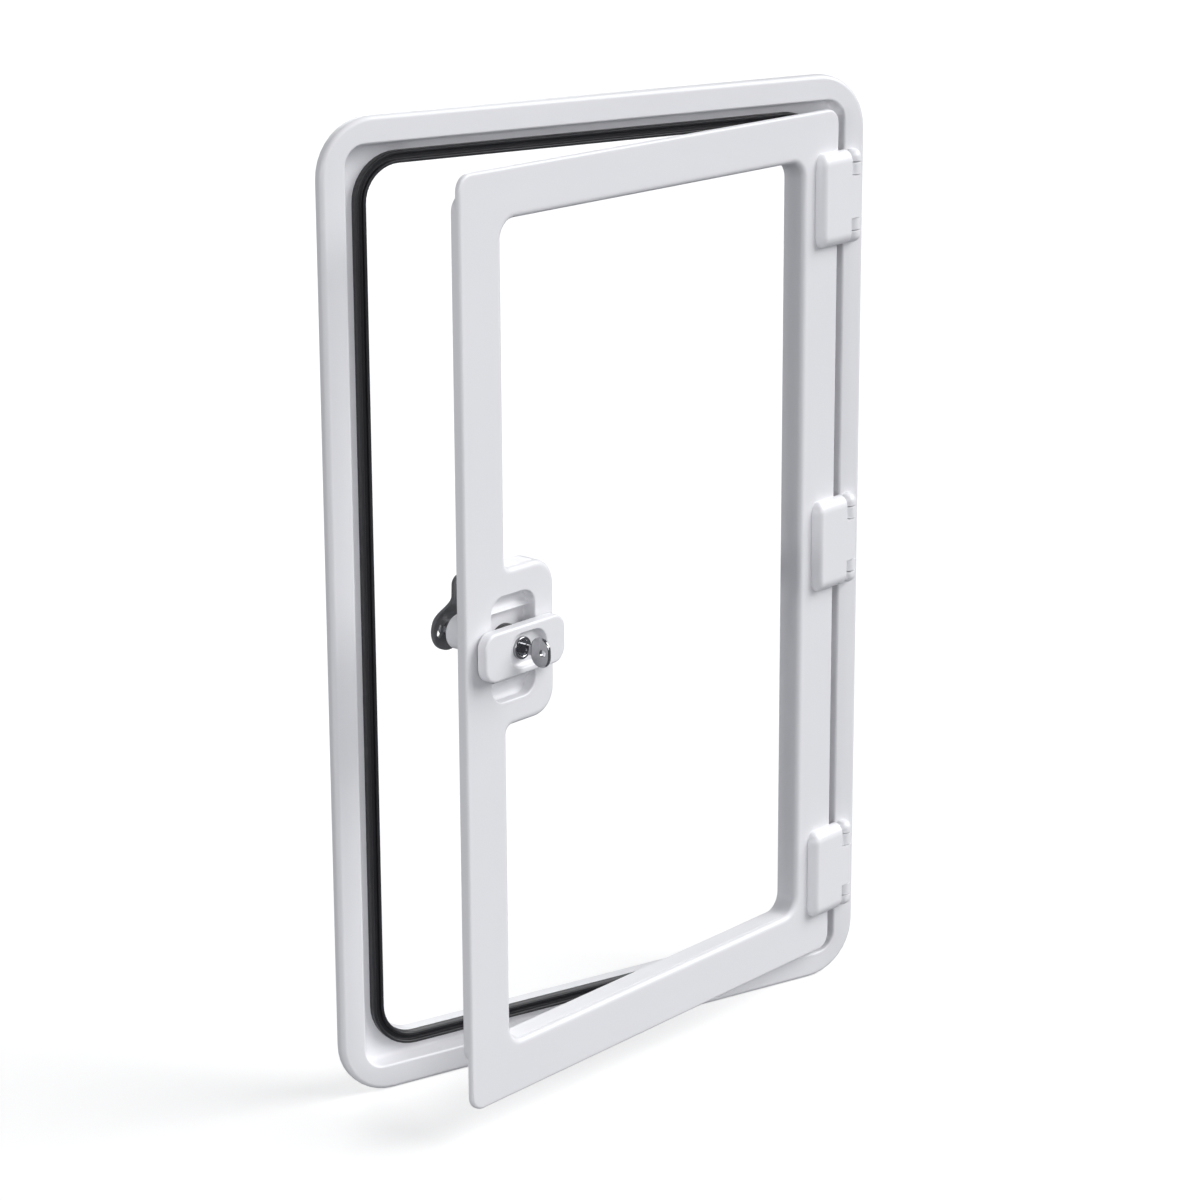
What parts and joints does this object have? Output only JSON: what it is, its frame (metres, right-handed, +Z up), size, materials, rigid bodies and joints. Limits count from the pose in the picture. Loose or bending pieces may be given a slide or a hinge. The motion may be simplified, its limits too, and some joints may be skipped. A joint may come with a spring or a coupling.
{
  "type": "service hatch",
  "caption": "Wall hatch with a flanged outer frame and rubber seal, an open window-shaped door on hinges, and a turning handle with key lock and latch lever.",
  "frame": {"origin": "on the flange's flat back face, in the middle of its bottom strip, which sits on the wall's outer skin", "axes": "+Z up the hatch, +Y into the wall, +X towards the hinges; the door is open at rest"},
  "size_m": [0.474, 0.1578, 0.74],
  "materials": {
    "white_moulding": "satin moulded",
    "white_fittings": "satin moulded",
    "black_rubber": "matt",
    "steel": "plain",
    "dark_metal": "dark satin",
    "bright_metal": "polished",
    "key_metal": "polished dark"
  },
  "bodies": {
    "frame": {"outer_frame": "white_moulding", "frame_seal": "black_rubber", "bottom_hinge_knuckles": "white_fittings", "bottom_hinge_pin": "steel", "middle_hinge_knuckles": "white_fittings", "middle_hinge_pin": "steel", "top_hinge_knuckles": "white_fittings", "top_hinge_pin": "steel"},
    "door": {"door_frame": "white_moulding", "lock_tab": "white_moulding", "lock_ring": "black_rubber", "lock_housing": "white_fittings", "bottom_hinge_leaf": "white_fittings", "middle_hinge_leaf": "white_fittings", "top_hinge_leaf": "white_fittings"},
    "handle": {"handle_plate": "white_fittings", "handle_spindle": "steel", "lock_cylinder": "bright_metal", "latch_lever": "dark_metal", "lever_screw": "steel"},
    "plug": {"cylinder_plug": "bright_metal"},
    "key": {"key": "key_metal"}
  },
  "joints": [
    {"name": "door_swing", "type": "hinge", "parent": "frame", "child": "door", "pos_m": [0.2241, -0.0095, 0.36125], "axis": [0, 0, 1], "range_deg": [-16, 104]},
    {"name": "handle_turn", "type": "hinge", "parent": "door", "child": "handle", "pos_m": [-0.14602, -0.11407, 0.36125], "axis": [0.2756, -0.9613, 0], "range_deg": [0, 90]},
    {"name": "plug_turn", "type": "hinge", "parent": "handle", "child": "plug", "pos_m": [-0.14602, -0.11407, 0.36125], "axis": [0.2756, -0.9613, 0], "range_deg": [0, 90]},
    {"name": "key_withdraw", "type": "slide", "parent": "plug", "child": "key", "axis": [0.2756, -0.9613, 0], "range_m": [0, 0.02]}
  ]
}
